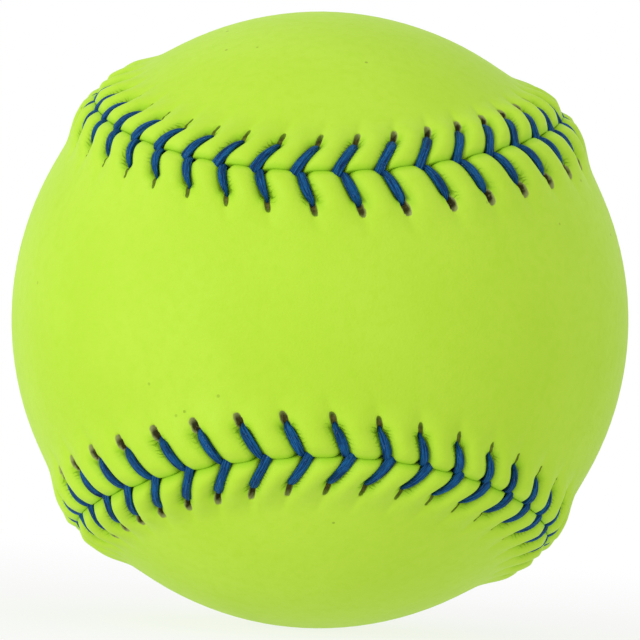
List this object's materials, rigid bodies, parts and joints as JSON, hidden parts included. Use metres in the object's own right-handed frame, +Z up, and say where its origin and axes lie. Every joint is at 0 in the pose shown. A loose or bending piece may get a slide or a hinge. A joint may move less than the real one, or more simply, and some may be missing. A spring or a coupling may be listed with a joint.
{
  "type": "softball",
  "caption": "Stitched leather softball: two interlocking dumbbell-shaped cover panels sewn with V stitches along a raised seam over a glued foam core.",
  "frame": {"origin": "centre of the ball", "axes": "+Z up through the middle of the back panel's upper lobe, -Y through the middle of the front panel's waist, +X through the front panel's right lobe"},
  "size_m": [0.097, 0.097, 0.097],
  "materials": {
    "core_foam": "moulded polyurethane foam, fine closed cells, dull",
    "cement": "dried contact cement film, satin",
    "cover_leather": "optic-yellow coated leather, fine grain, satin",
    "waxed_thread": "blue waxed multi-strand thread, slight sheen"
  },
  "bodies": {
    "root": {"core": "core_foam", "cement_film": "cement", "front_cover_panel": "cover_leather", "back_cover_panel": "cover_leather", "first_thread": "waxed_thread", "second_thread": "waxed_thread"}
  },
  "joints": []
}
